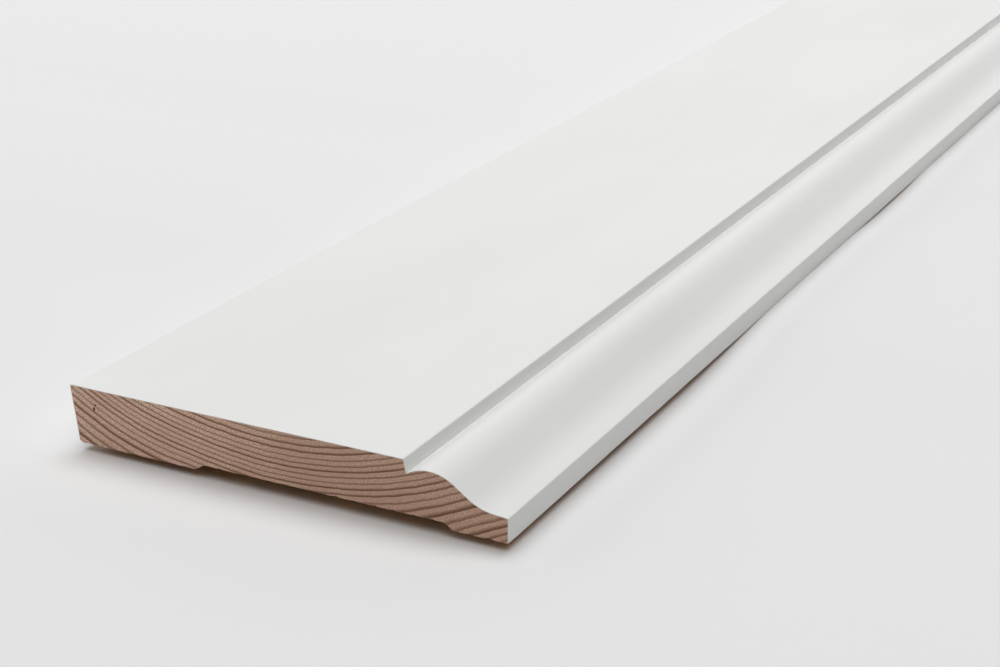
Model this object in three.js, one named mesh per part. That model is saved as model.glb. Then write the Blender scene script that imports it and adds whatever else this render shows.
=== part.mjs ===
import * as THREE from "three";

// A length of painted softwood skirting board, in millimetres, lying on its back.
// +X runs across it from the floor edge to the moulded top edge, +Y runs along it, and +Z is the way its face looks.
// The origin is on the back plane, at the middle of the width and of the length. Both ends are sawn square.

const WIDTH = 120;
const THICKNESS = 15;
const LENGTH = 600;

// The moulding beside the top edge is an ogee, set off from the flat face by a small step.
const CREST_FROM_TOP_EDGE = 19.8;
const CREST_BELOW_FACE = 1.65;
const ROUND_RADIUS = 10.65;
const HOLLOW_RADIUS = 11.7;
const FALL_ANGLE = THREE.MathUtils.degToRad(35);
const FALL_LENGTH = 4.9;
const LIP_ANGLE = THREE.MathUtils.degToRad(5.5);
const STEP_FOOT_FROM_TOP_EDGE = 25.65;
const STEP_LEAN = THREE.MathUtils.degToRad(11.5);

// The floor edge is undercut, so that the face edge closes on the floor.
const UNDERCUT = 1.75;
const BACK_BEVEL_RUN = 0.9;
const BACK_BEVEL_RISE = 0.5;

// The back is relieved between two lands, so that the board bridges an uneven wall.
const LOW_LAND_END = 36.4;
const HIGH_LAND_START = 106;
const RELIEF_DEPTH = 1.5;
const RELIEF_SHOULDER = 2.2;

const ARRIS_RADIUS = 0.3;
const BACK_EDGE_RADIUS = 0.5;
const ARC_SEGMENTS = 12;

// The moulding's points and arc centres, worked out from the crest towards the top edge.
function mouldingPoints() {
  const unit = (angle) => new THREE.Vector2(Math.sin(angle), Math.cos(angle));
  const crest = new THREE.Vector2(WIDTH - CREST_FROM_TOP_EDGE, THICKNESS - CREST_BELOW_FACE);
  const roundCentre = crest.clone().sub(new THREE.Vector2(0, ROUND_RADIUS));
  const fallStart = roundCentre.clone().addScaledVector(unit(FALL_ANGLE), ROUND_RADIUS);
  const fallWay = new THREE.Vector2(Math.cos(FALL_ANGLE), -Math.sin(FALL_ANGLE));
  const fallEnd = fallStart.clone().addScaledVector(fallWay, FALL_LENGTH);
  const hollowCentre = fallEnd.clone().addScaledVector(unit(FALL_ANGLE), HOLLOW_RADIUS);
  const lipStart = hollowCentre.clone().addScaledVector(unit(LIP_ANGLE), -HOLLOW_RADIUS);
  const topArris = new THREE.Vector2(
    WIDTH,
    lipStart.y - (WIDTH - lipStart.x) * Math.tan(LIP_ANGLE),
  );
  const footX = WIDTH - STEP_FOOT_FROM_TOP_EDGE;
  const footAngle = Math.asin((footX - roundCentre.x) / ROUND_RADIUS);
  const stepFoot = roundCentre.clone().addScaledVector(unit(footAngle), ROUND_RADIUS);
  const stepTop = new THREE.Vector2(
    stepFoot.x - (THICKNESS - stepFoot.y) * Math.tan(STEP_LEAN),
    THICKNESS,
  );
  return { roundCentre, hollowCentre, topArris, footAngle, stepTop };
}

// Draws a line to the corner and rounds it off towards the next point.
function roundCorner(shape, corner, next, radius) {
  const arriving = corner.clone().sub(shape.currentPoint).normalize();
  const leaving = next.clone().sub(corner).normalize();
  const turn = Math.atan2(arriving.cross(leaving), arriving.dot(leaving));
  const setBack = radius * Math.tan(Math.abs(turn) / 2);
  const start = corner.clone().addScaledVector(arriving, -setBack);
  const side = Math.sign(turn);
  const centre = start.clone().add(new THREE.Vector2(-arriving.y, arriving.x).multiplyScalar(side * radius));
  const from = Math.atan2(start.y - centre.y, start.x - centre.x);
  shape.lineTo(start.x, start.y);
  shape.absarc(centre.x, centre.y, radius, from, from + turn, side < 0);
}

// The cross-section, with x across the board and y up from the back plane, drawn anticlockwise.
function boardSection() {
  const { roundCentre, hollowCentre, topArris, footAngle, stepTop } = mouldingPoints();
  const quarter = Math.PI / 2;
  const point = (x, y) => new THREE.Vector2(x, y);
  const lipEnd = hollowCentre.clone().add(
    point(-Math.sin(LIP_ANGLE), -Math.cos(LIP_ANGLE)).multiplyScalar(HOLLOW_RADIUS),
  );
  const floorArris = point(0, THICKNESS);
  const undercutFoot = point(UNDERCUT, BACK_BEVEL_RISE);
  const landStart = point(UNDERCUT + BACK_BEVEL_RUN, 0);
  const section = new THREE.Shape();
  section.moveTo(landStart.x, landStart.y);
  section.lineTo(LOW_LAND_END, 0);
  section.lineTo(LOW_LAND_END + RELIEF_SHOULDER, RELIEF_DEPTH);
  section.lineTo(HIGH_LAND_START - RELIEF_SHOULDER, RELIEF_DEPTH);
  section.lineTo(HIGH_LAND_START, 0);
  roundCorner(section, point(WIDTH, 0), topArris, BACK_EDGE_RADIUS);
  roundCorner(section, topArris, lipEnd, ARRIS_RADIUS);
  section.absarc(
    hollowCentre.x, hollowCentre.y, HOLLOW_RADIUS, -quarter - LIP_ANGLE, -quarter - FALL_ANGLE, true,
  );
  section.absarc(
    roundCentre.x, roundCentre.y, ROUND_RADIUS, quarter - FALL_ANGLE, quarter - footAngle, false,
  );
  roundCorner(section, stepTop, floorArris, ARRIS_RADIUS);
  roundCorner(section, floorArris, undercutFoot, ARRIS_RADIUS);
  section.lineTo(undercutFoot.x, undercutFoot.y);
  section.closePath();
  return section;
}

// The whole board is one piece of wood under one coat of white paint.
function skirtingBoard() {
  const geometry = new THREE.ExtrudeGeometry(boardSection(), {
    depth: LENGTH,
    bevelEnabled: false,
    curveSegments: ARC_SEGMENTS,
  });
  geometry.rotateX(Math.PI / 2);
  geometry.translate(-WIDTH / 2, LENGTH / 2, 0);
  const paint = new THREE.MeshStandardMaterial({ color: 0xe9e9e5, roughness: 0.45, metalness: 0 });
  const board = new THREE.Mesh(geometry, paint);
  board.name = "skirting_board";
  return board;
}

const model = new THREE.Group();
model.add(skirtingBoard());

export default model;
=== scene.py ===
"""A length of white-painted skirting board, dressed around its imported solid. All lengths are in metres."""

import math
from types import SimpleNamespace

import bpy
import numpy as np
from mathutils import Euler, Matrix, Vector


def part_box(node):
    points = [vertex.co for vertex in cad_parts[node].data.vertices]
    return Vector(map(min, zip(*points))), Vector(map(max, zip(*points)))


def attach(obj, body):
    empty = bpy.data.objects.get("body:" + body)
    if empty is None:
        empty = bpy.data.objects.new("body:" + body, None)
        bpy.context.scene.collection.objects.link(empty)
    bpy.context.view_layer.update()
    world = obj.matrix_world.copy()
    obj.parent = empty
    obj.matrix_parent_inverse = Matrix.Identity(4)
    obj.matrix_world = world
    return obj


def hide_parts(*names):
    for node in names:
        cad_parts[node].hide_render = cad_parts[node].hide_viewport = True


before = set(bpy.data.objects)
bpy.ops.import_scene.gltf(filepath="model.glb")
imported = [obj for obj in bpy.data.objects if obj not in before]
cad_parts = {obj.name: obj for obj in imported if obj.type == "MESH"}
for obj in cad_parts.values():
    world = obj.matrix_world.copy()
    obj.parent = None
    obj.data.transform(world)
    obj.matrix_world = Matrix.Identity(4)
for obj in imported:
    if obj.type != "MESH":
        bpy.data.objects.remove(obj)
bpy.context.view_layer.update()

MM = 0.001
NODE = "skirting_board"
board_low, board_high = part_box(NODE)

# The section's driving sizes, across the board from its floor edge and up from its back plane.
WIDTH = board_high[0] - board_low[0]
THICKNESS = board_high[2] - board_low[2]
NEAR_END = board_low[1]
FAR_END = board_high[1]
FLOOR_EDGE = board_low[0]
CREST_FROM_TOP_EDGE = 19.8 * MM
CREST_BELOW_FACE = 1.65 * MM
ROUND_RADIUS = 10.65 * MM
HOLLOW_RADIUS = 11.7 * MM
FALL_ANGLE = math.radians(35)
FALL_LENGTH = 4.9 * MM
LIP_ANGLE = math.radians(5.5)
STEP_FOOT_FROM_TOP_EDGE = 25.65 * MM
STEP_LEAN = math.radians(11.5)
UNDERCUT = 1.75 * MM
BACK_BEVEL_RUN = 0.9 * MM
BACK_BEVEL_RISE = 0.5 * MM
LOW_LAND_END = 36.4 * MM
HIGH_LAND_START = 106 * MM
RELIEF_DEPTH = 1.5 * MM
RELIEF_SHOULDER = 2.2 * MM

# The arrises and the paint's film, which is uneven by this share of its thickness in waves of this length.
ARRIS_RADIUS = 0.28 * MM
FILM = 0.15 * MM
FILM_SWING = 0.22
FILM_WAVE = 7 * MM

# The bare arris below the top edge, which is uneven along the board and chipped at its ends.
EASING = 0.08 * MM
EASING_SWING = 0.03 * MM
EASING_LEAST = 0.05 * MM
EASING_WAVE = 46 * MM
CORNER_CHIP = 0.15 * MM
CORNER_CHIP_LENGTH = 1.6 * MM

# The saw tore bites out of the back at its ends, but none beside the top edge.
TEAR_OUT = 0.5 * MM
TEAR_OUT_LEAST = 0.05 * MM
TEAR_OUT_LENGTH = 1.1 * MM
TEAR_OUT_WAVE = 4 * MM
TEAR_OUT_START = 0.25
TEAR_OUT_MARGIN = 0.8 * MM

# The sawn ends' relief, and the near end's two pits: where they are, across and up, and how far they reach.
EARLY_WOOD_DEPTH = 0.035 * MM
SCRATCH_DEPTH = 0.02 * MM
SCRATCH_WAVE = 0.9 * MM
SCRATCH_WAY = (0.94, 0.34)
RIDGE_FOOT = 0.6
RIDGE_RISE = 0.3
RIDGE_FALL = 0.06
FLECKS = ((-53.2 * MM, 9.75 * MM), (-52.7 * MM, 10.85 * MM))
FLECK_REACHES = ((0.3 * MM, 0.5 * MM), (0.3 * MM, 0.2 * MM))
FLECK_DEPTH = 0.3 * MM

# The dent in the top edge.
DENT_Y = 101.7 * MM
DENT_Z = 3.3 * MM
DENT_DEPTH = 0.3 * MM
DENT_REACH = 1.2 * MM

# Each random wave has a seed of its own, and the back's tears have one for each end.
EASING_SEED = 3
FILM_SEED = 5
TEAR_OUT_SEEDS = (11, 12)
SCRATCH_SEED = 21

# How finely the surface is laid out.
PITCH = 0.42 * MM
COARSE_PITCH = 4 * MM
STATION_PITCH = 3 * MM
END_STATIONS = np.array([0, 0.15, 0.35, 0.65, 1.0, 1.5, 2.2, 3.2, 4.6, 6.5]) * MM
DENT_STATIONS = np.linspace(-3, 3, 13) * DENT_REACH
STATION_ROOM = 1 * MM
CAP_ROWS = 36
EASED_STEPS = 6
ARC_STEPS = 5
ROUND_STEPS = 28
HOLLOW_STEPS = 14
STRAIGHT_WITHIN = 1e-4
SHARP_ANGLE = math.radians(24)

# Growth rings run round a pith that lies outside the board, above its face, and drifts along the board.
# These are in millimetres and rings.
PITH_X = -3
PITH_Z = 116
PITH_DRIFT_X = 0.006
PITH_DRIFT_Z = 0.016
RING_PITCH = 1.638
RING_START = -60.86
RING_SWING = 0.548
RING_SWING_LENGTH = 25.36
RING_SWING_PHASE = -2.377

# How the rings stand off true circles, over the end's half width and half thickness.
HALF_WIDTH = 60
HALF_THICKNESS = 7.5
RING_TILT = 0.05
RING_BOW = 0.45
RING_SKEW = 0.56
RING_FAN = 0.32
RING_LIFT = 0.12
# Two places where the rings wave: where across the board, how wide, how far at mid-thickness, and how much
# further towards the face.
RING_WAVES = ((-20.9, 14.3, -0.42, 0.25), (37.2, 17.9, 0.22, -0.8))

# How the rings stray from year to year: a wander that grows away from the near end, and a waver.
WANDER_FREQUENCY = (0.02, 0.003, 0.02)
WANDER_RINGS = 5.0
WANDER_FULL_AT = 200.0
WAVER_FREQUENCY = (0.28, 0.012, 0.28)
WAVER_RINGS = 0.28

# A year's late wood: where in the year it starts, near the pith and far from it, where it is full and where
# it ends. Every few years comes a stronger one, whose late wood starts earlier and is darker.
LATE_START_RADII = (116.0, 125.0)
LATE_STARTS = (0.52, 0.38)
LATE_FULL = 0.86
LATE_END = 0.95
DARK_RING = 5
DARK_RING_EVERY = 3.4
DARK_RING_HEAD_START = 0.09
RING_STRENGTH = 0.84
DARK_RING_GAIN = 0.16

# Where each part of the surface lies on the unrolled map: the two ends, the bare back and the paint.
MAP_MARGIN = 0.005
END_STRIP = 0.12
END_STRIP_STARTS = (0.004, 0.132)
BACK_STRIP = (0.262, 0.532)
PAINT_STRIP = (0.54, 0.995)

# The floor below the board. The real board is slightly bowed: its near end stands just clear of what it lies
# on, and so does one more stretch.
FLOOR_GAP = 2.15 * MM
GAP_FROM_Y = -130 * MM
GAP_TO_Y = -200 * MM
LOW_SPOT_Y = -17 * MM
LOW_SPOT_REACH = 30 * MM
LOW_SPOT_DEPTH = 0.75 * MM
FLOOR_REACH = 3.0
FLOOR_CELLS = 60
FLOOR_TONE = (0.80, 0.80, 0.80, 1)

# How high the sky begins and is full, as the sine of its elevation.
SKY_FOOT = 0.62
SKY_FULL = 0.84
SKY_STRENGTH = 0.97
BACKDROP_STRENGTH = 0.55

# The photograph's camera.
LENS = 70.2
SENSOR = 36
CAMERA_PLACE = (234.6 * MM, -640.5 * MM, 198 * MM)
CAMERA_DOWN = math.radians(21.19)
CAMERA_TURN = math.radians(27.42)

PAINT, FILM_EDGE, END_GRAIN, BARE = range(4)


def unit(v):
    return v / np.linalg.norm(v)


def arc(centre, radius, start, end, steps):
    """Points on an arc, both its ends included."""
    angles = np.linspace(start, end, steps + 1)
    return centre + radius * np.stack([np.cos(angles), np.sin(angles)], 1)


def rounded(before, corner, after, radius, steps=ARC_STEPS):
    """The arc that rounds a corner off between the line that comes in and the line that goes out."""
    back, on = unit(before - corner), unit(after - corner)
    half = math.acos(np.clip(back @ on, -1, 1)) / 2
    centre = corner + unit(back + on) * radius / math.sin(half)
    first = corner + back * radius / math.tan(half) - centre
    last = corner + on * radius / math.tan(half) - centre
    start = math.atan2(first[1], first[0])
    turn = math.atan2(last[1], last[0]) - start
    turn = (turn + math.pi) % (2 * math.pi) - math.pi
    return arc(centre, radius, start, start + turn, steps)


def straight(start, end, pitch, marks=()):
    """Points from start to end, no further apart than pitch, with one at the x of each mark."""
    cuts = [0.0, 1.0]
    cuts += [(m - start[0]) / (end[0] - start[0]) for m in marks]
    cuts = sorted(c for c in cuts if 0 <= c <= 1)
    shares = [0.0]
    for low, high in zip(cuts, cuts[1:]):
        steps = max(1, math.ceil((high - low) * np.linalg.norm(end - start) / pitch))
        shares += list(np.linspace(low, high, steps + 1)[1:])
    return start + np.outer(shares, end - start)


def joined(*runs):
    """One line of points from runs that each start where the last one ended."""
    return np.concatenate([runs[0]] + [r[1:] for r in runs[1:]])


def along(points, shares):
    """Points at these shares of a line's length."""
    steps = np.linalg.norm(np.diff(points, axis=0), axis=1)
    length = np.concatenate([[0], np.cumsum(steps)])
    length /= length[-1]
    return np.stack([np.interp(shares, length, points[:, i]) for i in (0, 1)], 1)


def ripple(x, seed, wavelength, octaves=3):
    """A smooth random wave of x between about -1 and 1, the same on every run."""
    waves = 3
    rng = np.random.default_rng(seed)
    total = np.zeros_like(np.asarray(x, float))
    for octave in range(octaves):
        for _ in range(waves):
            turn = rng.uniform(0.7, 1.4) * 2 * math.pi * 2**octave / wavelength
            total += np.sin(x * turn + rng.uniform(0, 2 * math.pi)) / 2**octave
    return total / waves


def moulding():
    """The moulding's corners, centres and angles, worked out from its crest towards both its sides."""
    crest = np.array([WIDTH - CREST_FROM_TOP_EDGE, THICKNESS - CREST_BELOW_FACE])
    round_centre = crest - [0, ROUND_RADIUS]
    lean = np.array([math.sin(FALL_ANGLE), math.cos(FALL_ANGLE)])
    fall = np.array([math.cos(FALL_ANGLE), -math.sin(FALL_ANGLE)])
    fall_start = round_centre + lean * ROUND_RADIUS
    fall_end = fall_start + fall * FALL_LENGTH
    hollow_centre = fall_end + lean * HOLLOW_RADIUS
    lip_start = hollow_centre - [math.sin(LIP_ANGLE) * HOLLOW_RADIUS, math.cos(LIP_ANGLE) * HOLLOW_RADIUS]
    top_arris = np.array([WIDTH, lip_start[1] - (WIDTH - lip_start[0]) * math.tan(LIP_ANGLE)])
    foot_x = WIDTH - STEP_FOOT_FROM_TOP_EDGE
    foot_angle = math.acos((foot_x - round_centre[0]) / ROUND_RADIUS)
    foot = round_centre + ROUND_RADIUS * np.array([math.cos(foot_angle), math.sin(foot_angle)])
    step_top = np.array([foot[0] - (THICKNESS - foot[1]) * math.tan(STEP_LEAN), THICKNESS])
    return SimpleNamespace(
        round_centre=round_centre,
        fall_start=fall_start,
        fall_end=fall_end,
        hollow_centre=hollow_centre,
        lip_start=lip_start,
        top_arris=top_arris,
        foot_angle=foot_angle,
        foot=foot,
        step_top=step_top,
    )


def face_line():
    """The section's painted line, from the floor arris over the face and the moulding to the top edge."""
    m = moulding()
    quarter = math.pi / 2
    floor_corner = np.array([0, THICKNESS])
    undercut_foot = np.array([UNDERCUT, BACK_BEVEL_RISE])
    floor_arris = rounded(undercut_foot, floor_corner, m.step_top, ARRIS_RADIUS)
    step_arris = rounded(floor_corner, m.step_top, m.foot, ARRIS_RADIUS)
    swell = arc(m.round_centre, ROUND_RADIUS, m.foot_angle, quarter - FALL_ANGLE, ROUND_STEPS)
    hollow = arc(m.hollow_centre, HOLLOW_RADIUS, -quarter - FALL_ANGLE, -quarter - LIP_ANGLE, HOLLOW_STEPS)
    last_arris = rounded(m.lip_start, m.top_arris, np.array([WIDTH, 0]), ARRIS_RADIUS)
    marks = [LOW_LAND_END, LOW_LAND_END + RELIEF_SHOULDER]
    return joined(
        floor_arris,
        straight(floor_arris[-1], step_arris[0], PITCH, marks),
        step_arris,
        straight(step_arris[-1], m.foot, PITCH),
        swell,
        straight(m.fall_start, m.fall_end, PITCH),
        hollow,
        straight(m.lip_start, last_arris[0], PITCH),
        last_arris,
    )


def back_height(x):
    """How high the back lies above its own lands, at x across the board."""
    rise = np.interp(x, [LOW_LAND_END, LOW_LAND_END + RELIEF_SHOULDER], [0, RELIEF_DEPTH])
    fall = np.interp(x, [HIGH_LAND_START - RELIEF_SHOULDER, HIGH_LAND_START], [0, RELIEF_DEPTH])
    return rise - fall


def back_line(face, easing):
    """The section's bare line, with a point under each one of the face line, from floor edge to top edge."""
    settle = 6 * MM
    least_step = 1e-9
    first = UNDERCUT + BACK_BEVEL_RUN
    last = WIDTH - easing
    xs = face[:, 0].copy()
    left = xs < first + settle
    right = xs > last - settle
    xs[left] = np.interp(xs[left], [xs[0], first + settle], [first, first + settle])
    xs[right] = np.interp(xs[right], [last - settle, xs[-1]], [last - settle, last])
    xs = np.maximum.accumulate(xs + np.arange(len(xs)) * least_step)
    for mark in (HIGH_LAND_START - RELIEF_SHOULDER, HIGH_LAND_START):
        xs[np.argmin(abs(xs - mark))] = mark
    return np.stack([xs, back_height(xs)], 1)


def section_loop(face, easing):
    """The outline, anticlockwise from the floor edge's foot: back, top edge, face and floor edge."""
    back = back_line(face, easing)
    foot = np.array([UNDERCUT, BACK_BEVEL_RISE])
    floor_edge = joined(np.stack([back[0], foot]), straight(foot, face[0], PITCH))
    corner = np.array([WIDTH, 0])
    eased = rounded(back[-1] - [1 * MM, 0], corner, face[-1], easing, EASED_STEPS)
    rest = CAP_ROWS - EASED_STEPS
    # Half a step less, so that rounding up gives just the steps that are left.
    upper = straight(eased[-1], face[-1], np.linalg.norm(face[-1] - eased[-1]) / (rest - 0.5))
    top_edge = joined(eased, upper)
    floor_edge = along(floor_edge, ROW_SHARES)
    return np.concatenate([back, top_edge[1:], face[::-1][1:], floor_edge[::-1][1:-1]])


# The outline without any roughness, and where along it each of its parts starts and its bare stretch ends.
ROW_SHARES = np.linspace(0, 1, CAP_ROWS + 1)
FACE = face_line()
COLUMNS = len(FACE)
LOOP = section_loop(FACE, EASING)
LOOP_COUNT = len(LOOP)
TOP_EDGE_START = COLUMNS - 1
FACE_START = TOP_EDGE_START + CAP_ROWS
FLOOR_EDGE_START = FACE_START + COLUMNS - 1
BARE_COUNT = TOP_EDGE_START + EASED_STEPS


def stations():
    """Where along the board its outline is set out, and whether finely, as by the ends and the dent."""
    count = round((FAR_END - NEAR_END) / STATION_PITCH) + 1
    places = {y: False for y in np.linspace(NEAR_END, FAR_END, count)}
    for fine in (NEAR_END + END_STATIONS, DENT_Y + DENT_STATIONS, (FAR_END - END_STATIONS)[::-1]):
        low = fine[0] - STATION_ROOM
        high = fine[-1] + STATION_ROOM
        places = {y: is_fine for y, is_fine in places.items() if not low < y < high}
        places.update((y, True) for y in fine)
    return sorted(places.items())


def easing_at(y):
    """The radius of the bare arris under the top edge, which the cutter left uneven."""
    from_end = np.minimum(y - NEAR_END, FAR_END - y)
    wave = ripple(y, EASING_SEED, EASING_WAVE, octaves=4) * EASING_SWING
    return EASING + wave + CORNER_CHIP * math.exp(-from_end / CORNER_CHIP_LENGTH)


def torn(x, y, seed):
    """How far the saw tore the back's edge up at an end, at x across the board."""
    from_end = min(y - NEAR_END, FAR_END - y)
    ragged = ripple(x, seed, TEAR_OUT_WAVE, octaves=4)
    bites = np.clip(ragged - TEAR_OUT_START, 0, 1) * TEAR_OUT
    return (bites + TEAR_OUT_LEAST) * math.exp(-from_end / TEAR_OUT_LENGTH)


def loop_at(y):
    """The outline at y along the board, with the saw's and the cutter's roughness."""
    loop = section_loop(FACE, max(EASING_LEAST, float(easing_at(y))))
    back = slice(0, TOP_EDGE_START + 2)
    seed = TEAR_OUT_SEEDS[0 if y < (NEAR_END + FAR_END) / 2 else 1]
    room = np.clip((WIDTH - loop[back, 0]) / TEAR_OUT_MARGIN, 0, 1)
    loop[back, 1] += torn(loop[back, 0], y, seed) * room
    top_edge = slice(TOP_EDGE_START, FACE_START)
    apart = np.hypot(y - DENT_Y, loop[top_edge, 1] - DENT_Z) / DENT_REACH
    loop[top_edge, 0] -= DENT_DEPTH * np.exp(-(apart**2))
    return loop


def film_thickness():
    """The paint's thickness at each point of the outline, none on the bare back."""
    thickness = np.zeros(LOOP_COUNT)
    painted = np.arange(BARE_COUNT + 1, LOOP_COUNT)
    thickness[painted] = FILM * (1 + FILM_SWING * ripple(painted * PITCH, FILM_SEED, FILM_WAVE))
    return thickness


def inside(loop, thickness):
    """The outline moved in by the paint's thickness."""
    on = np.roll(loop, -1, 0) - np.roll(loop, 1, 0)
    on /= np.linalg.norm(on, axis=1)[:, None]
    return loop + np.stack([-on[:, 1], on[:, 0]], 1) * thickness[:, None]


def patch(loop):
    """A net of points over the section, whose rim is the outline: rows from back to face, columns across."""
    back = loop[: TOP_EDGE_START + 1]
    right = loop[TOP_EDGE_START : FACE_START + 1]
    face = loop[FACE_START : FLOOR_EDGE_START + 1][::-1]
    left = np.concatenate([loop[FLOOR_EDGE_START:], loop[:1]])[::-1]
    u = (back[:, 0] - back[0, 0]) / (back[-1, 0] - back[0, 0])
    u = u[None, :, None]
    v = ROW_SHARES[:, None, None]
    ruled = (1 - v) * back[None] + v * face[None]
    sides = (1 - u) * left[:, None] + u * right[:, None]
    corners = (1 - u) * ((1 - v) * back[0] + v * face[0]) + u * ((1 - v) * back[-1] + v * face[-1])
    return ruled + sides - corners


def ring_phase(x, z):
    """The phase of the growth at a place on the near end, in years."""
    r = np.hypot(x - PITH_X, PITH_Z - z)
    swing = RING_SWING * np.sin(2 * math.pi * r / RING_SWING_LENGTH + RING_SWING_PHASE)
    u = x / HALF_WIDTH
    v = z / HALF_THICKNESS - 1
    bend = RING_TILT + u**2 * (RING_BOW + RING_SKEW * u) + v * (RING_LIFT + RING_FAN * u)
    for centre, width, middle, slope in RING_WAVES:
        bend = bend + (middle + slope * v) * np.exp(-(((x - centre) / width) ** 2))
    return r / RING_PITCH + swing + RING_START - bend


def sawn_depth(x, z, is_near):
    """How far below its plane the saw left an end: soft early wood lies lower than the dark late wood."""
    share = ring_phase((x + FLOOR_EDGE) / MM, z / MM) % 1
    late = np.clip((share - RIDGE_FOOT) / RIDGE_RISE, 0, 1) * np.clip((1 - share) / RIDGE_FALL, 0, 1)
    across_scratches = x * SCRATCH_WAY[0] + z * SCRATCH_WAY[1]
    scratches = np.clip(ripple(across_scratches, SCRATCH_SEED, SCRATCH_WAVE) * 0.5 + 0.5, 0, 1)
    depth = EARLY_WOOD_DEPTH * (1 - late) + SCRATCH_DEPTH * scratches
    if is_near:
        for (fleck_x, fleck_z), reach in zip(FLECKS, FLECK_REACHES):
            apart = np.hypot((x + FLOOR_EDGE - fleck_x) / reach[0], (z - fleck_z) / reach[1])
            depth = depth + FLECK_DEPTH * np.exp(-(apart**2))
    return depth


def faded_at_rim(depth):
    """The depths of a net's points, none on its rim and half one point in."""
    rows, columns = depth.shape
    row, column = np.indices((rows, columns))
    rim = np.minimum(np.minimum(row, rows - 1 - row), np.minimum(column, columns - 1 - column))
    return depth * np.clip(rim / 2, 0, 1)


def rim_of(net):
    """What lies along a net's rim, anticlockwise from its first corner."""
    return np.concatenate([net[0, :], net[1:, -1], net[-1, ::-1][1:], net[:0:-1, 0][1:]])


class Builder:
    """Gathers the board's vertices, faces and the finish of each face."""

    def __init__(self):
        self.points = []
        self.faces = []
        self.finishes = []
        self.places = []
        self.count = 0

    def add(self, xz, ys):
        """Adds points of the section at ys and returns their numbers."""
        flat = xz.reshape(-1, 2)
        ys = np.broadcast_to(ys, xz.shape[:-1]).reshape(-1)
        self.points.append(np.stack([flat[:, 0] + FLOOR_EDGE, ys, flat[:, 1]], 1))
        numbers = np.arange(self.count, self.count + len(flat)).reshape(xz.shape[:-1])
        self.count += len(flat)
        return numbers

    def face(self, corners, places, finish):
        """Adds a face, with its corners' places on the unrolled map, unless it has closed up to a line."""
        kept = [n for n, c in enumerate(corners) if c != corners[n - 1]]
        if len(kept) > 2:
            self.faces.append([int(corners[n]) for n in kept])
            self.places += [tuple(places[n]) for n in kept]
            self.finishes.append(finish)

    def mesh(self, name):
        """All of it as one mesh, without the points that no face uses."""
        used = sorted({c for face in self.faces for c in face})
        renumbered = {old: new for new, old in enumerate(used)}
        points = np.concatenate(self.points)[used]
        faces = [[renumbered[c] for c in face] for face in self.faces]
        mesh = bpy.data.meshes.new(name)
        mesh.from_pydata(points.tolist(), [], faces)
        mesh.polygons.foreach_set("material_index", self.finishes)
        unrolled = mesh.uv_layers.new(name="OFBake")
        unrolled.data.foreach_set("uv", np.array(self.places).ravel())
        mesh.update()
        return mesh


def outline_finish(k):
    """The finish of the long face between outline points k and k + 1."""
    return BARE if k < BARE_COUNT else PAINT


def outline_places():
    """How far up the unrolled map each outline point lies: on the back's strip, and on the paint's."""
    steps = np.linalg.norm(np.roll(LOOP, -1, 0) - LOOP, axis=1)
    length = np.concatenate([[0], np.cumsum(steps)])
    split = length[BARE_COUNT]
    back = np.interp(length, [0, split], BACK_STRIP)
    paint = np.interp(length, [split, length[-1]], PAINT_STRIP)
    return {BARE: back, PAINT: paint}


def end_places(section, is_near):
    """Where points of an end lie on the unrolled map."""
    across = MAP_MARGIN + section[..., 0] / WIDTH * (1 - 2 * MAP_MARGIN)
    up = END_STRIP_STARTS[0 if is_near else 1] + section[..., 1] / THICKNESS * END_STRIP
    return np.stack([across, up], -1)


def kept_points():
    """The outline points that the middle of the board keeps: all those on curves, few on the flats."""
    before = LOOP - np.roll(LOOP, 1, 0)
    after = np.roll(LOOP, -1, 0) - LOOP
    turn = before[:, 0] * after[:, 1] - before[:, 1] * after[:, 0]
    bends = abs(turn) > STRAIGHT_WITHIN * np.linalg.norm(before, axis=1) * np.linalg.norm(after, axis=1)
    bends |= np.roll(bends, 1) | np.roll(bends, -1)
    starts = (0, TOP_EDGE_START, BARE_COUNT, FACE_START, FLOOR_EDGE_START)
    keep, since = [], 0.0
    for k in range(LOOP_COUNT):
        since += np.linalg.norm(before[k])
        if bends[k] or since > COARSE_PITCH or k in starts:
            keep.append(k)
            since = 0.0
    return keep


def build_film_edge(made, outer, ring, outer_places, ring_places, turn):
    """The strip of cut paint film round an end, between the outline and the wood's own rim."""
    for k in range(LOOP_COUNT):
        on = (k + 1) % LOOP_COUNT
        corners = [outer[k], outer[on], ring[on], ring[k]]
        places = [outer_places[k], outer_places[on], ring_places[on], ring_places[k]]
        made.face(corners[::turn], places[::turn], FILM_EDGE)


def build_end_grain(made, numbers, net_places, turn):
    """The sawn wood of an end."""
    rows, columns = numbers.shape
    for i in range(rows - 1):
        for j in range(columns - 1):
            around = [(i, j), (i, j + 1), (i + 1, j + 1), (i + 1, j)][::turn]
            made.face([numbers[c] for c in around], [net_places[c] for c in around], END_GRAIN)


def build_cap(made, outer, y, facing_near):
    """A sawn end, whose bare rim shares its points with the outline."""
    loop = loop_at(y)
    thickness = film_thickness()
    inner_line = inside(loop, thickness)
    net = patch(inner_line)
    depth = faded_at_rim(sawn_depth(net[..., 0], net[..., 1], facing_near))
    numbers = made.add(net, y + depth if facing_near else y - depth)
    ring = rim_of(numbers)
    bare = thickness == 0
    shared = dict(zip(ring[bare].tolist(), outer[bare].tolist()))
    numbers = np.vectorize(lambda n: shared.get(n, n))(numbers)
    ring = np.where(bare, outer, ring)
    turn = 1 if facing_near else -1
    outer_places = end_places(loop, facing_near)
    ring_places = end_places(inner_line, facing_near)
    build_film_edge(made, outer, ring, outer_places, ring_places, turn)
    build_end_grain(made, numbers, end_places(net, facing_near), turn)


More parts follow.
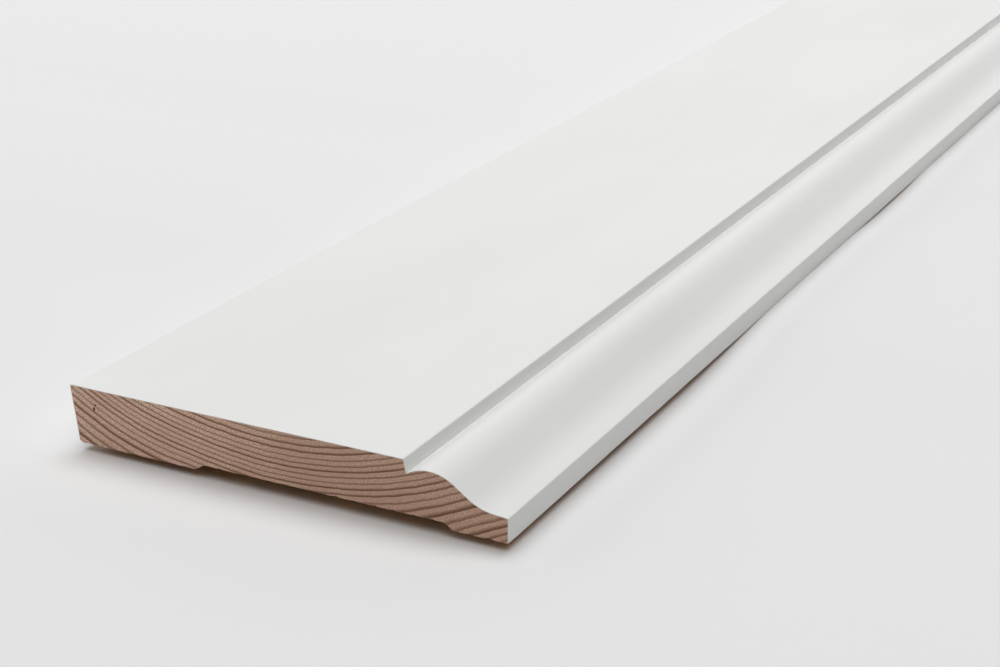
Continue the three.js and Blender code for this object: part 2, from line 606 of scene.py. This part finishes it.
def lay_outlines(made):
    """Adds the outline at each station. Gives its points' numbers, -1 for those left out, and its place."""
    keep = kept_points()
    loops = []
    places_along = []
    for y, is_fine in stations():
        which = list(range(LOOP_COUNT)) if is_fine else keep
        numbers = np.full(LOOP_COUNT, -1)
        numbers[which] = made.add(loop_at(y)[which], y)
        loops.append(numbers)
        places_along.append(MAP_MARGIN + (y - NEAR_END) / (FAR_END - NEAR_END) * (1 - 2 * MAP_MARGIN))
    return loops, places_along


def build_stretch(made, near, far, u_near, u_far, up_map):
    """The long faces between one station and the next."""
    marks = [k for k in range(LOOP_COUNT) if near[k] >= 0 and far[k] >= 0]
    for k, on in zip(marks, marks[1:] + [marks[0] + LOOP_COUNT]):
        finish = outline_finish(k)
        up = up_map[finish]
        there = [m for m in range(k, on + 1) if far[m % LOOP_COUNT] >= 0]
        back = [m for m in range(on, k - 1, -1) if near[m % LOOP_COUNT] >= 0]
        corners = [far[m % LOOP_COUNT] for m in there] + [near[m % LOOP_COUNT] for m in back]
        places = [(u_far, up[m]) for m in there] + [(u_near, up[m]) for m in back]
        made.face(corners, places, finish)


def build_board():
    """The whole board as one closed mesh."""
    made = Builder()
    up_map = outline_places()
    loops, places_along = lay_outlines(made)
    for near, far, u_near, u_far in zip(loops, loops[1:], places_along, places_along[1:]):
        build_stretch(made, near, far, u_near, u_far, up_map)
    build_cap(made, loops[0], NEAR_END, True)
    build_cap(made, loops[-1], FAR_END, False)
    return made.mesh("painted_board")


class Graph:
    """A material's node tree, with a short call for each kind of node that the finishes share."""

    def __init__(self, name):
        self.material = bpy.data.materials.new(name)
        self.material.use_nodes = True
        self.tree = self.material.node_tree
        self.shader = self.tree.nodes["Principled BSDF"]
        coordinates = self.tree.nodes.new("ShaderNodeTexCoord")
        self.place = self.vector("SCALE", coordinates.outputs["Object"], scale=1 / MM)
        split = self.tree.nodes.new("ShaderNodeSeparateXYZ")
        self.link(self.place, split.inputs[0])
        self.x, self.y, self.z = split.outputs

    def link(self, value, socket):
        """Links a socket's value, or sets a plain one."""
        if isinstance(value, bpy.types.NodeSocket):
            self.tree.links.new(value, socket)
        else:
            socket.default_value = value

    def calc(self, operation, *values):
        """The result of a sum on numbers."""
        node = self.tree.nodes.new("ShaderNodeMath")
        node.operation = operation
        for value, socket in zip(values, node.inputs):
            self.link(value, socket)
        return node.outputs[0]

    def vector(self, operation, *values, scale=None):
        """The result of a sum on vectors."""
        node = self.tree.nodes.new("ShaderNodeVectorMath")
        node.operation = operation
        for value, socket in zip(values, node.inputs):
            self.link(value, socket)
        if scale is not None:
            node.inputs["Scale"].default_value = scale
        return node.outputs[0]

    def noise(self, frequency, detail=2.0, roughness=0.5):
        """Noise from 0 to 1 with this many features to the millimetre along x, y and z."""
        node = self.tree.nodes.new("ShaderNodeTexNoise")
        self.link(self.vector("MULTIPLY", self.place, frequency), node.inputs["Vector"])
        node.inputs["Scale"].default_value = 1.0
        node.inputs["Detail"].default_value = detail
        node.inputs["Roughness"].default_value = roughness
        return node.outputs[0]

    def spread(self, value, low, high, to_low=0.0, to_high=1.0, kind="SMOOTHSTEP"):
        """The value's share of the way from low to high, as a number from to_low to to_high."""
        node = self.tree.nodes.new("ShaderNodeMapRange")
        node.interpolation_type = kind
        for number, socket in zip((value, low, high, to_low, to_high), node.inputs):
            self.link(number, socket)
        return node.outputs[0]

    def mix(self, share, first, second):
        """The first colour with this share of the second."""
        node = self.tree.nodes.new("ShaderNodeMix")
        node.data_type = "RGBA"
        self.link(share, node.inputs[0])
        self.link(first, node.inputs[6])
        self.link(second, node.inputs[7])
        return node.outputs[2]

    def bump(self, height, distance):
        """A normal for relief of this depth."""
        node = self.tree.nodes.new("ShaderNodeBump")
        node.inputs["Strength"].default_value = 1.0
        node.inputs["Distance"].default_value = distance
        self.link(height, node.inputs["Height"])
        return node.outputs[0]

    def finish(self, colour, roughness, normal, specular):
        """Gives the shader its looks and returns the material."""
        self.link(colour, self.shader.inputs["Base Color"])
        self.link(roughness, self.shader.inputs["Roughness"])
        self.link(normal, self.shader.inputs["Normal"])
        self.shader.inputs["Specular IOR Level"].default_value = specular
        return self.material


def growth(g):
    """Each growth ring's late wood, from 0 in the early wood to 1 at the dark line that ends the year."""
    from_near = g.calc("SUBTRACT", g.y, NEAR_END / MM)
    across = g.calc("SUBTRACT", g.x, g.calc("MULTIPLY_ADD", from_near, PITH_DRIFT_X, PITH_X))
    down = g.calc("SUBTRACT", g.calc("MULTIPLY_ADD", from_near, PITH_DRIFT_Z, PITH_Z), g.z)
    r = g.calc("SQRT", g.calc("ADD", g.calc("MULTIPLY", across, across), g.calc("MULTIPLY", down, down)))
    swing = g.calc("MULTIPLY_ADD", r, 2 * math.pi / RING_SWING_LENGTH, RING_SWING_PHASE)
    phase = g.calc("MULTIPLY_ADD", g.calc("SINE", swing), RING_SWING, RING_START)
    phase = g.calc("ADD", phase, g.calc("MULTIPLY", r, 1 / RING_PITCH))
    phase = g.calc("SUBTRACT", phase, ring_bend(g))
    phase = g.calc("ADD", phase, ring_stray(g, from_near))
    return late_wood(g, r, phase)


def ring_bend(g):
    """How many years' growth the rings stand off true circles round the pith."""
    u = g.calc("MULTIPLY", g.x, 1 / HALF_WIDTH)
    v = g.calc("MULTIPLY_ADD", g.z, 1 / HALF_THICKNESS, -1.0)
    bow = g.calc("MULTIPLY", g.calc("MULTIPLY", u, u), g.calc("MULTIPLY_ADD", u, RING_SKEW, RING_BOW))
    bend = g.calc("ADD", bow, g.calc("MULTIPLY", v, g.calc("MULTIPLY_ADD", u, RING_FAN, RING_LIFT)))
    for centre, width, middle, slope in RING_WAVES:
        apart = g.calc("MULTIPLY_ADD", g.x, 1 / width, -centre / width)
        fade = g.calc("EXPONENT", g.calc("MULTIPLY", g.calc("MULTIPLY", apart, apart), -1.0))
        bend = g.calc("ADD", bend, g.calc("MULTIPLY", fade, g.calc("MULTIPLY_ADD", v, slope, middle)))
    return g.calc("ADD", bend, RING_TILT)


def ring_stray(g, from_near):
    """How many years' growth the rings stray at random."""
    wander = g.calc("SUBTRACT", g.noise(WANDER_FREQUENCY, 1.0), 0.5)
    reach = g.spread(from_near, 0.0, WANDER_FULL_AT, 0.0, WANDER_RINGS, "LINEAR")
    wander = g.calc("MULTIPLY", wander, reach)
    waver = g.calc("MULTIPLY", g.calc("SUBTRACT", g.noise(WAVER_FREQUENCY), 0.5), WAVER_RINGS)
    return g.calc("ADD", wander, waver)


def late_wood(g, r, phase):
    """How dark the wood of a year is at this phase of its growth and this distance from the pith."""
    share = g.calc("FRACT", phase)
    turn = 2 * math.pi / DARK_RING_EVERY
    vigour = g.calc("COSINE", g.calc("MULTIPLY_ADD", g.calc("FLOOR", phase), turn, -turn * DARK_RING))
    usual_start = g.spread(r, *LATE_START_RADII, *LATE_STARTS)
    start = g.calc("MULTIPLY_ADD", vigour, -DARK_RING_HEAD_START, usual_start)
    late = g.spread(share, start, LATE_FULL)
    end = g.spread(share, LATE_END, 1.0, 1.0, 0.0)
    strength = g.calc("MULTIPLY_ADD", vigour, DARK_RING_GAIN, RING_STRENGTH)
    return g.calc("MULTIPLY", g.calc("MULTIPLY", late, end), strength)


def fleck_mask(g):
    """1 on the two dark flecks of the near end, and 0 elsewhere."""
    masks = []
    for (x, z), reach in zip(FLECKS, FLECK_REACHES):
        across = g.calc("MULTIPLY_ADD", g.x, MM / reach[0], -x / reach[0])
        up = g.calc("MULTIPLY_ADD", g.z, MM / reach[1], -z / reach[1])
        apart = g.calc("ADD", g.calc("MULTIPLY", across, across), g.calc("MULTIPLY", up, up))
        masks.append(g.spread(apart, 0.5, 1.3, 1.0, 0.0))
    is_near = g.calc("LESS_THAN", g.y, 0.0)
    return g.calc("MULTIPLY", g.calc("MAXIMUM", *masks), is_near)


def end_grain():
    """Sawn pine across the grain: rings and pale pores, browner in clouds and towards the top edge."""
    g = Graph("end_grain")
    wall_colour = (0.53, 0.335, 0.235, 1)
    pore_colour = (0.93, 0.66, 0.505, 1)
    cloud_colour = (0.65, 0.375, 0.295, 1)
    brown_side_colour = (0.45, 0.265, 0.18, 1)
    late_colour = (0.16, 0.065, 0.03, 1)
    fleck_colour = (0.03, 0.012, 0.008, 1)
    late = growth(g)
    cells = g.noise((2.3, 0.5, 2.3), 2.0, 0.6)
    clouds = g.noise((0.09, 0.02, 0.09))
    early = g.mix(g.spread(cells, 0.36, 0.64), wall_colour, pore_colour)
    early = g.mix(g.spread(clouds, 0.35, 0.65, 0.0, 0.4), early, cloud_colour)
    early = g.mix(g.spread(g.x, -25.0, 10.0, 0.0, 0.45), early, brown_side_colour)
    colour = g.mix(g.calc("MULTIPLY", late, 0.9), early, late_colour)
    colour = g.mix(fleck_mask(g), colour, fleck_colour)
    height = g.calc("MULTIPLY_ADD", cells, 0.6, g.calc("MULTIPLY", late, 0.5))
    return g.finish(colour, roughness=0.75, normal=g.bump(height, 0.05 * MM), specular=0.25)


def planed_pine():
    """Bare planed pine along the grain: rings that run as stripes, fine fibres and the planer's waves."""
    g = Graph("planed_pine")
    dark_fibre_colour = (0.53, 0.275, 0.095, 1)
    pale_fibre_colour = (0.68, 0.39, 0.165, 1)
    cloud_colour = (0.61, 0.31, 0.115, 1)
    late_colour = (0.36, 0.15, 0.045, 1)
    planer_wave = 1.9
    late = growth(g)
    fibres = g.noise((1.9, 0.035, 1.9), 4.0, 0.65)
    clouds = g.noise((0.06, 0.006, 0.06))
    early = g.mix(g.spread(fibres, 0.3, 0.7), dark_fibre_colour, pale_fibre_colour)
    early = g.mix(g.spread(clouds, 0.35, 0.7, 0.0, 0.4), early, cloud_colour)
    colour = g.mix(g.calc("MULTIPLY", late, 0.8), early, late_colour)
    waves = g.calc("SINE", g.calc("MULTIPLY", g.y, 2 * math.pi / planer_wave))
    height = g.calc("MULTIPLY_ADD", waves, 0.12, g.calc("ADD", fibres, g.calc("MULTIPLY", late, 0.6)))
    return g.finish(colour, roughness=0.75, normal=g.bump(height, 0.04 * MM), specular=0.1)


def white_paint():
    """Satin white paint, sprayed: a faint orange peel over a trace of the grain below."""
    g = Graph("white_paint")
    dull_colour = (0.80, 0.805, 0.785, 1)
    bright_colour = (0.825, 0.83, 0.81, 1)
    peel = g.noise((0.9, 0.5, 0.9))
    grain = g.noise((0.7, 0.012, 0.7), 3.0)
    clouds = g.noise((0.03, 0.01, 0.03))
    colour = g.mix(g.spread(clouds, 0.3, 0.7), dull_colour, bright_colour)
    roughness = g.spread(peel, 0.2, 0.8, 0.3, 0.38, "LINEAR")
    height = g.calc("ADD", peel, g.calc("MULTIPLY", grain, 0.6))
    return g.finish(colour, roughness, normal=g.bump(height, 0.012 * MM), specular=0.5)


def cut_film():
    """The sawn edge of the paint, a little creamier than its surface."""
    g = Graph("cut_film")
    cream_colour = (0.70, 0.66, 0.60, 1)
    chip_colour = (0.86, 0.84, 0.79, 1)
    chips = g.noise((1.5, 1.5, 1.5))
    colour = g.mix(g.spread(chips, 0.35, 0.7), cream_colour, chip_colour)
    return g.finish(colour, roughness=0.6, normal=g.bump(chips, 0.03 * MM), specular=0.4)


def dress_board():
    """Makes the board's mesh, gives it its finishes and puts it in the solid's place."""
    mesh = build_board()
    for material in (white_paint(), cut_film(), end_grain(), planed_pine()):
        mesh.materials.append(material)
    board = bpy.data.objects.new("board", mesh)
    bpy.context.scene.collection.objects.link(board)
    mesh.shade_smooth()
    mesh.set_sharp_from_angle(angle=SHARP_ANGLE)
    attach(board, "root")
    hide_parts(NODE)


def floor_height(y):
    """The floor's height at y: level, but lower in the low spot, and from below the near end onwards."""
    share = np.clip((y - GAP_FROM_Y) / (GAP_TO_Y - GAP_FROM_Y), 0, 1)
    low_spot = LOW_SPOT_DEPTH * math.exp(-(((y - LOW_SPOT_Y) / LOW_SPOT_REACH) ** 4))
    return -FLOOR_GAP * share**2 * (3 - 2 * share) - low_spot


def floor_mesh():
    """A grid that is fine below the board and wide further out."""
    steps = np.linspace(-1, 1, FLOOR_CELLS + 1)
    steps = FLOOR_REACH * np.sign(steps) * abs(steps) ** 2
    under_board = np.arange(GAP_TO_Y, LOW_SPOT_Y + 2 * LOW_SPOT_REACH, STATION_PITCH)
    rows = np.unique(np.concatenate([steps, under_board]))
    points = [(x, y, floor_height(y)) for y in rows for x in steps]
    row = len(steps)
    faces = [
        (i * row + j, i * row + j + 1, (i + 1) * row + j + 1, (i + 1) * row + j)
        for i in range(len(rows) - 1)
        for j in range(row - 1)
    ]
    mesh = bpy.data.meshes.new("floor")
    mesh.from_pydata(points, [], faces)
    mesh.shade_smooth()
    return mesh


def floor_material():
    """A plain pale matt tone."""
    material = bpy.data.materials.new("floor")
    material.use_nodes = True
    shader = material.node_tree.nodes["Principled BSDF"]
    shader.inputs["Base Color"].default_value = FLOOR_TONE
    shader.inputs["Roughness"].default_value = 0.9
    shader.inputs["Specular IOR Level"].default_value = 0.0
    return material


def make_floor():
    """A plain pale floor that leaves a thin gap below the board's near end and below one more stretch."""
    mesh = floor_mesh()
    floor = bpy.data.objects.new("floor", mesh)
    bpy.context.scene.collection.objects.link(floor)
    mesh.materials.append(floor_material())


def make_light(name, place, target, size, power):
    """A soft rectangular light that faces its target."""
    data = bpy.data.lights.new(name, "AREA")
    data.shape = "RECTANGLE"
    data.size, data.size_y = size
    data.energy = power
    light = bpy.data.objects.new(name, data)
    light.location = place
    light.rotation_euler = (Vector(target) - Vector(place)).to_track_quat("-Z", "Y").to_euler()
    light.visible_camera = False
    bpy.context.scene.collection.objects.link(light)


def make_sky():
    """A soft sky that shines from well above the horizon, and a plain backdrop for the camera alone."""
    world = bpy.data.worlds.new("studio")
    world.use_nodes = True
    tree = world.node_tree
    background = tree.nodes["Background"]
    coordinates = tree.nodes.new("ShaderNodeTexCoord")
    split = tree.nodes.new("ShaderNodeSeparateXYZ")
    rise = tree.nodes.new("ShaderNodeMapRange")
    path = tree.nodes.new("ShaderNodeLightPath")
    choice = tree.nodes.new("ShaderNodeMix")
    rise.interpolation_type = "SMOOTHSTEP"
    for socket, value in zip(rise.inputs[1:5], (SKY_FOOT, SKY_FULL, 0.0, SKY_STRENGTH)):
        socket.default_value = value
    choice.inputs[3].default_value = BACKDROP_STRENGTH
    tree.links.new(coordinates.outputs["Generated"], split.inputs[0])
    tree.links.new(split.outputs[2], rise.inputs[0])
    tree.links.new(path.outputs["Is Camera Ray"], choice.inputs[0])
    tree.links.new(rise.outputs[0], choice.inputs[2])
    tree.links.new(choice.outputs[0], background.inputs["Strength"])
    background.inputs["Color"].default_value = (1, 1, 1, 1)
    bpy.context.scene.world = world


def make_studio():
    """Soft light from overhead, the left, the back and high on the right, a pale sky and a plain tone."""
    middle = (0, 0, 0)
    make_light("overhead", (-0.35, 0.6, 2.2), target=(-0.35, 0.6, 0), size=(1.6, 1.4), power=21.6)
    make_light("left", (-4.0, 0, 1.4), target=middle, size=(8.0, 1.8), power=65)
    make_light("back", (-0.5, 4.2, 1.33), target=middle, size=(7.6, 1.7), power=40)
    make_light("high right", (1.1, -1.3, 2.5), target=(0, -0.15, 0), size=(1.8, 1.8), power=12.3)
    make_sky()
    bpy.context.scene.view_settings.view_transform = "Standard"
    bpy.context.scene.view_settings.look = "None"


def make_camera():
    data = bpy.data.cameras.new("camera")
    data.lens = LENS
    data.sensor_width = SENSOR
    camera = bpy.data.objects.new("camera", data)
    camera.location = CAMERA_PLACE
    camera.rotation_euler = Euler((math.pi / 2 - CAMERA_DOWN, 0, CAMERA_TURN))
    bpy.context.scene.collection.objects.link(camera)
    bpy.context.scene.camera = camera


make_camera()
make_studio()
make_floor()
dress_board()
